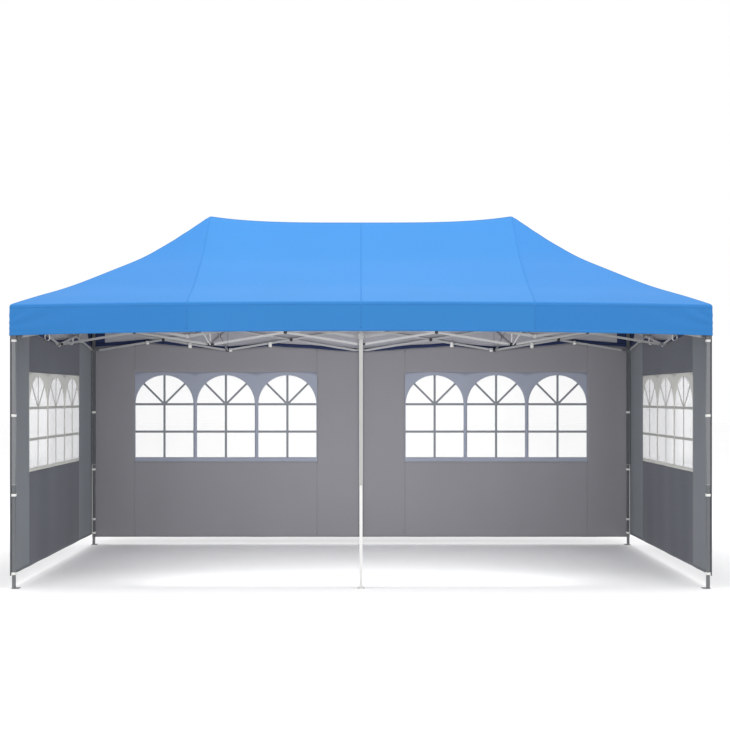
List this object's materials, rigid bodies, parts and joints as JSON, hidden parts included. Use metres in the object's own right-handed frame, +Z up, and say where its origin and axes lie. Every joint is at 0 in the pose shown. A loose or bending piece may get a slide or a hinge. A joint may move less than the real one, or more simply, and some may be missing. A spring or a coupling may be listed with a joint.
{
  "type": "pop up gazebo",
  "caption": "Folding gazebo with a hipped twin-peak canopy, scissor-truss frame, telescopic legs and arched-window walls on the back and both ends.",
  "frame": {"origin": "on the ground, under the centre of the plan", "axes": "+X along the long side to the right, +Y from the open front to the back, +Z up"},
  "size_m": [5.964, 3.014, 3.38],
  "materials": {
    "leg_paint": "satin powder coat",
    "bar_paint": "satin powder coat",
    "joint_plastic": "matt moulded nylon",
    "canopy_cloth": "coated woven polyester",
    "wall_cloth": "coated woven polyester",
    "clear_sheet": "clear soft sheet"
  },
  "bodies": {
    "outer_leg_front_middle": {"outer_leg_front_middle": "leg_paint", "canopy": "canopy_cloth", "back_wall_left": "wall_cloth", "back_wall_right": "wall_cloth", "end_wall_left": "wall_cloth", "end_wall_right": "wall_cloth", "window_panes": "clear_sheet", "ridge_truss": "bar_paint", "cross_trusses": "bar_paint", "middle_truss": "bar_paint", "upper_hubs": "joint_plastic"},
    "outer_leg_front_left": {"outer_leg_front_left": "leg_paint"},
    "outer_leg_front_right": {"outer_leg_front_right": "leg_paint"},
    "outer_leg_back_left": {"outer_leg_back_left": "leg_paint"},
    "outer_leg_back_middle": {"outer_leg_back_middle": "leg_paint"},
    "outer_leg_back_right": {"outer_leg_back_right": "leg_paint"},
    "inner_leg_front_left": {"inner_leg_front_left": "leg_paint"},
    "slider_front_left": {"slider_front_left": "joint_plastic"},
    "inner_leg_front_middle": {"inner_leg_front_middle": "leg_paint"},
    "slider_front_middle": {"slider_front_middle": "joint_plastic"},
    "inner_leg_front_right": {"inner_leg_front_right": "leg_paint"},
    "slider_front_right": {"slider_front_right": "joint_plastic"},
    "inner_leg_back_left": {"inner_leg_back_left": "leg_paint"},
    "slider_back_left": {"slider_back_left": "joint_plastic"},
    "inner_leg_back_middle": {"inner_leg_back_middle": "leg_paint"},
    "slider_back_middle": {"slider_back_middle": "joint_plastic"},
    "inner_leg_back_right": {"inner_leg_back_right": "leg_paint"},
    "slider_back_right": {"slider_back_right": "joint_plastic"},
    "front_bar_1a": {"front_bar_1a": "bar_paint"},
    "front_bar_1b": {"front_bar_1b": "bar_paint"},
    "front_bar_2a": {"front_bar_2a": "bar_paint"},
    "front_bar_2b": {"front_bar_2b": "bar_paint"},
    "front_bar_3a": {"front_bar_3a": "bar_paint"},
    "front_bar_3b": {"front_bar_3b": "bar_paint"},
    "front_bar_4a": {"front_bar_4a": "bar_paint"},
    "front_bar_4b": {"front_bar_4b": "bar_paint"},
    "back_bar_1a": {"back_bar_1a": "bar_paint"},
    "back_bar_1b": {"back_bar_1b": "bar_paint"},
    "back_bar_2a": {"back_bar_2a": "bar_paint"},
    "back_bar_2b": {"back_bar_2b": "bar_paint"},
    "back_bar_3a": {"back_bar_3a": "bar_paint"},
    "back_bar_3b": {"back_bar_3b": "bar_paint"},
    "back_bar_4a": {"back_bar_4a": "bar_paint"},
    "back_bar_4b": {"back_bar_4b": "bar_paint"},
    "left_bar_1a": {"left_bar_1a": "bar_paint"},
    "left_bar_1b": {"left_bar_1b": "bar_paint"},
    "left_bar_2a": {"left_bar_2a": "bar_paint"},
    "left_bar_2b": {"left_bar_2b": "bar_paint"},
    "right_bar_1a": {"right_bar_1a": "bar_paint"},
    "right_bar_1b": {"right_bar_1b": "bar_paint"},
    "right_bar_2a": {"right_bar_2a": "bar_paint"},
    "right_bar_2b": {"right_bar_2b": "bar_paint"},
    "clevis_left": {"clevis_left": "joint_plastic"},
    "cross_bar_left": {"cross_bar_left": "bar_paint"},
    "lower_hub_left": {"lower_hub_left": "joint_plastic", "peak_pole_left": "bar_paint"},
    "clevis_right": {"clevis_right": "joint_plastic"},
    "cross_bar_right": {"cross_bar_right": "bar_paint"},
    "lower_hub_right": {"lower_hub_right": "joint_plastic", "peak_pole_right": "bar_paint"}
  },
  "joints": [
    {"name": "fold", "type": "hinge", "parent": "outer_leg_front_middle", "child": "front_bar_3a", "pos_m": [0.064, -1.475, 2.375], "axis": [0, 1, 0], "range_deg": [0, 76], "deforming": ["canopy", "back_wall_left", "back_wall_right", "end_wall_left", "end_wall_right", "window_panes", "ridge_truss", "cross_trusses", "middle_truss", "upper_hubs"]},
    {"name": "front_cross_3", "type": "hinge", "parent": "front_bar_3a", "child": "front_bar_3b", "pos_m": [0.7695, -1.475, 2.26], "axis": [0, 1, 0], "range_deg": [-152, 0]},
    {"name": "front_low_right", "type": "hinge", "parent": "front_bar_3a", "child": "front_bar_4b", "pos_m": [1.475, -1.475, 2.145], "axis": [0, 1, 0], "range_deg": [-152, 0]},
    {"name": "front_cross_4", "type": "hinge", "parent": "front_bar_4b", "child": "front_bar_4a", "pos_m": [2.1805, -1.475, 2.26], "axis": [0, 1, 0], "range_deg": [0, 152]},
    {"name": "front_right_top", "type": "hinge", "parent": "front_bar_4b", "child": "outer_leg_front_right", "pos_m": [2.886, -1.475, 2.375], "axis": [0, 1, 0], "range_deg": [0, 76]},
    {"name": "front_right_slider", "type": "hinge", "parent": "front_bar_4a", "child": "slider_front_right", "pos_m": [2.886, -1.475, 2.145], "axis": [0, 1, 0], "range_deg": [-76, 0]},
    {"name": "clevis_right_turn", "type": "hinge", "parent": "front_bar_3b", "child": "clevis_right", "pos_m": [1.475, -1.475, 2.375], "axis": [0, 1, 0], "range_deg": [0, 76]},
    {"name": "front_middle_left_top", "type": "hinge", "parent": "outer_leg_front_middle", "child": "front_bar_2b", "pos_m": [-0.064, -1.475, 2.375], "axis": [0, 1, 0], "range_deg": [-76, 0]},
    {"name": "front_cross_2", "type": "hinge", "parent": "front_bar_2b", "child": "front_bar_2a", "pos_m": [-0.7695, -1.475, 2.26], "axis": [0, 1, 0], "range_deg": [0, 152]},
    {"name": "front_middle_slider", "type": "hinge", "parent": "front_bar_2a", "child": "slider_front_middle", "pos_m": [-0.064, -1.475, 2.145], "axis": [0, 1, 0], "range_deg": [-76, 0]},
    {"name": "front_low_left", "type": "hinge", "parent": "front_bar_2b", "child": "front_bar_1a", "pos_m": [-1.475, -1.475, 2.145], "axis": [0, 1, 0], "range_deg": [0, 152]},
    {"name": "front_left_top", "type": "hinge", "parent": "front_bar_1a", "child": "outer_leg_front_left", "pos_m": [-2.886, -1.475, 2.375], "axis": [0, 1, 0], "range_deg": [-76, 0]},
    {"name": "front_cross_1", "type": "hinge", "parent": "front_bar_1a", "child": "front_bar_1b", "pos_m": [-2.1805, -1.475, 2.26], "axis": [0, 1, 0], "range_deg": [-152, 0]},
    {"name": "front_left_slider", "type": "hinge", "parent": "front_bar_1b", "child": "slider_front_left", "pos_m": [-2.886, -1.475, 2.145], "axis": [0, 1, 0], "range_deg": [0, 76]},
    {"name": "clevis_left_turn", "type": "hinge", "parent": "front_bar_2a", "child": "clevis_left", "pos_m": [-1.475, -1.475, 2.375], "axis": [0, 1, 0], "range_deg": [-76, 0]},
    {"name": "left_front_top", "type": "hinge", "parent": "outer_leg_front_left", "child": "left_bar_1a", "pos_m": [-2.95, -1.411, 2.375], "axis": [1, 0, 0], "range_deg": [-76, 0]},
    {"name": "left_cross_1", "type": "hinge", "parent": "left_bar_1a", "child": "left_bar_1b", "pos_m": [-2.95, -0.7055, 2.26], "axis": [1, 0, 0], "range_deg": [0, 152]},
    {"name": "left_low", "type": "hinge", "parent": "left_bar_1a", "child": "left_bar_2b", "pos_m": [-2.95, 0, 2.145], "axis": [1, 0, 0], "range_deg": [0, 152]},
    {"name": "left_cross_2", "type": "hinge", "parent": "left_bar_2b", "child": "left_bar_2a", "pos_m": [-2.95, 0.7055, 2.26], "axis": [1, 0, 0], "range_deg": [-152, 0]},
    {"name": "left_back_top", "type": "hinge", "parent": "left_bar_2b", "child": "outer_leg_back_left", "pos_m": [-2.95, 1.411, 2.375], "axis": [1, 0, 0], "range_deg": [-76, 0]},
    {"name": "back_left_slider", "type": "hinge", "parent": "left_bar_2a", "child": "slider_back_left", "pos_m": [-2.95, 1.411, 2.145], "axis": [1, 0, 0], "range_deg": [0, 76]},
    {"name": "right_front_top", "type": "hinge", "parent": "outer_leg_front_right", "child": "right_bar_1a", "pos_m": [2.95, -1.411, 2.375], "axis": [1, 0, 0], "range_deg": [-76, 0]},
    {"name": "right_cross_1", "type": "hinge", "parent": "right_bar_1a", "child": "right_bar_1b", "pos_m": [2.95, -0.7055, 2.26], "axis": [1, 0, 0], "range_deg": [0, 152]},
    {"name": "right_low", "type": "hinge", "parent": "right_bar_1a", "child": "right_bar_2b", "pos_m": [2.95, 0, 2.145], "axis": [1, 0, 0], "range_deg": [0, 152]},
    {"name": "right_cross_2", "type": "hinge", "parent": "right_bar_2b", "child": "right_bar_2a", "pos_m": [2.95, 0.7055, 2.26], "axis": [1, 0, 0], "range_deg": [-152, 0]},
    {"name": "right_back_top", "type": "hinge", "parent": "right_bar_2b", "child": "outer_leg_back_right", "pos_m": [2.95, 1.411, 2.375], "axis": [1, 0, 0], "range_deg": [-76, 0]},
    {"name": "back_right_slider", "type": "hinge", "parent": "right_bar_2a", "child": "slider_back_right", "pos_m": [2.95, 1.411, 2.145], "axis": [1, 0, 0], "range_deg": [0, 76]},
    {"name": "back_left_top", "type": "hinge", "parent": "outer_leg_back_left", "child": "back_bar_1a", "pos_m": [-2.886, 1.475, 2.375], "axis": [0, 1, 0], "range_deg": [0, 76]},
    {"name": "back_cross_1", "type": "hinge", "parent": "back_bar_1a", "child": "back_bar_1b", "pos_m": [-2.1805, 1.475, 2.26], "axis": [0, 1, 0], "range_deg": [-152, 0]},
    {"name": "back_low_left", "type": "hinge", "parent": "back_bar_1a", "child": "back_bar_2b", "pos_m": [-1.475, 1.475, 2.145], "axis": [0, 1, 0], "range_deg": [-152, 0]},
    {"name": "back_middle_top", "type": "hinge", "parent": "back_bar_2b", "child": "outer_leg_back_middle", "pos_m": [-0.064, 1.475, 2.375], "axis": [0, 1, 0], "range_deg": [0, 76]},
    {"name": "back_cross_2", "type": "hinge", "parent": "back_bar_2b", "child": "back_bar_2a", "pos_m": [-0.7695, 1.475, 2.26], "axis": [0, 1, 0], "range_deg": [0, 152]},
    {"name": "back_middle_slider", "type": "hinge", "parent": "back_bar_2a", "child": "slider_back_middle", "pos_m": [-0.064, 1.475, 2.145], "axis": [0, 1, 0], "range_deg": [-76, 0]},
    {"name": "back_right_top", "type": "hinge", "parent": "outer_leg_back_right", "child": "back_bar_4b", "pos_m": [2.886, 1.475, 2.375], "axis": [0, 1, 0], "range_deg": [-76, 0]},
    {"name": "back_cross_4", "type": "hinge", "parent": "back_bar_4b", "child": "back_bar_4a", "pos_m": [2.1805, 1.475, 2.26], "axis": [0, 1, 0], "range_deg": [0, 152]},
    {"name": "back_low_right", "type": "hinge", "parent": "back_bar_4b", "child": "back_bar_3a", "pos_m": [1.475, 1.475, 2.145], "axis": [0, 1, 0], "range_deg": [0, 152]},
    {"name": "back_cross_3", "type": "hinge", "parent": "back_bar_3a", "child": "back_bar_3b", "pos_m": [0.7695, 1.475, 2.26], "axis": [0, 1, 0], "range_deg": [-152, 0]},
    {"name": "cross_top_left", "type": "hinge", "parent": "clevis_left", "child": "cross_bar_left", "pos_m": [-1.475, -1.443, 2.375], "axis": [1, 0, 0], "range_deg": [-76, 0]},
    {"name": "hub_turn_left", "type": "hinge", "parent": "cross_bar_left", "child": "lower_hub_left", "pos_m": [-1.475, -0.032, 2.145], "axis": [1, 0, 0], "range_deg": [0, 76]},
    {"name": "cross_top_right", "type": "hinge", "parent": "clevis_right", "child": "cross_bar_right", "pos_m": [1.475, -1.443, 2.375], "axis": [1, 0, 0], "range_deg": [-76, 0]},
    {"name": "hub_turn_right", "type": "hinge", "parent": "cross_bar_right", "child": "lower_hub_right", "pos_m": [1.475, -0.032, 2.145], "axis": [1, 0, 0], "range_deg": [0, 76]},
    {"name": "leg_front_left", "type": "slide", "parent": "outer_leg_front_left", "child": "inner_leg_front_left", "axis": [0, 0, 1], "range_m": [0, 0.86]},
    {"name": "leg_front_middle", "type": "slide", "parent": "outer_leg_front_middle", "child": "inner_leg_front_middle", "axis": [0, 0, 1], "range_m": [0, 0.86]},
    {"name": "leg_front_right", "type": "slide", "parent": "outer_leg_front_right", "child": "inner_leg_front_right", "axis": [0, 0, 1], "range_m": [0, 0.86]},
    {"name": "leg_back_left", "type": "slide", "parent": "outer_leg_back_left", "child": "inner_leg_back_left", "axis": [0, 0, 1], "range_m": [0, 0.86]},
    {"name": "leg_back_middle", "type": "slide", "parent": "outer_leg_back_middle", "child": "inner_leg_back_middle", "axis": [0, 0, 1], "range_m": [0, 0.86]},
    {"name": "leg_back_right", "type": "slide", "parent": "outer_leg_back_right", "child": "inner_leg_back_right", "axis": [0, 0, 1], "range_m": [0, 0.86]}
  ],
  "couplings": [
    {"joint": "front_cross_3", "follows": "fold", "ratio": -2},
    {"joint": "front_low_right", "follows": "fold", "ratio": -2},
    {"joint": "front_cross_4", "follows": "fold", "ratio": 2},
    {"joint": "front_right_top", "follows": "fold", "ratio": 1},
    {"joint": "front_right_slider", "follows": "fold", "ratio": -1},
    {"joint": "clevis_right_turn", "follows": "fold", "ratio": 1},
    {"joint": "front_middle_left_top", "follows": "fold", "ratio": -1},
    {"joint": "front_cross_2", "follows": "fold", "ratio": 2},
    {"joint": "front_middle_slider", "follows": "fold", "ratio": -1},
    {"joint": "front_low_left", "follows": "fold", "ratio": 2},
    {"joint": "front_left_top", "follows": "fold", "ratio": -1},
    {"joint": "front_cross_1", "follows": "fold", "ratio": -2},
    {"joint": "front_left_slider", "follows": "fold", "ratio": 1},
    {"joint": "clevis_left_turn", "follows": "fold", "ratio": -1},
    {"joint": "left_front_top", "follows": "fold", "ratio": -1},
    {"joint": "left_cross_1", "follows": "fold", "ratio": 2},
    {"joint": "left_low", "follows": "fold", "ratio": 2},
    {"joint": "left_cross_2", "follows": "fold", "ratio": -2},
    {"joint": "left_back_top", "follows": "fold", "ratio": -1},
    {"joint": "back_left_slider", "follows": "fold", "ratio": 1},
    {"joint": "right_front_top", "follows": "fold", "ratio": -1},
    {"joint": "right_cross_1", "follows": "fold", "ratio": 2},
    {"joint": "right_low", "follows": "fold", "ratio": 2},
    {"joint": "right_cross_2", "follows": "fold", "ratio": -2},
    {"joint": "right_back_top", "follows": "fold", "ratio": -1},
    {"joint": "back_right_slider", "follows": "fold", "ratio": 1},
    {"joint": "back_left_top", "follows": "fold", "ratio": 1},
    {"joint": "back_cross_1", "follows": "fold", "ratio": -2},
    {"joint": "back_low_left", "follows": "fold", "ratio": -2},
    {"joint": "back_middle_top", "follows": "fold", "ratio": 1},
    {"joint": "back_cross_2", "follows": "fold", "ratio": 2},
    {"joint": "back_middle_slider", "follows": "fold", "ratio": -1},
    {"joint": "back_right_top", "follows": "fold", "ratio": -1},
    {"joint": "back_cross_4", "follows": "fold", "ratio": 2},
    {"joint": "back_low_right", "follows": "fold", "ratio": 2},
    {"joint": "back_cross_3", "follows": "fold", "ratio": -2},
    {"joint": "cross_top_left", "follows": "fold", "ratio": -1},
    {"joint": "hub_turn_left", "follows": "fold", "ratio": 1},
    {"joint": "cross_top_right", "follows": "fold", "ratio": -1},
    {"joint": "hub_turn_right", "follows": "fold", "ratio": 1}
  ]
}
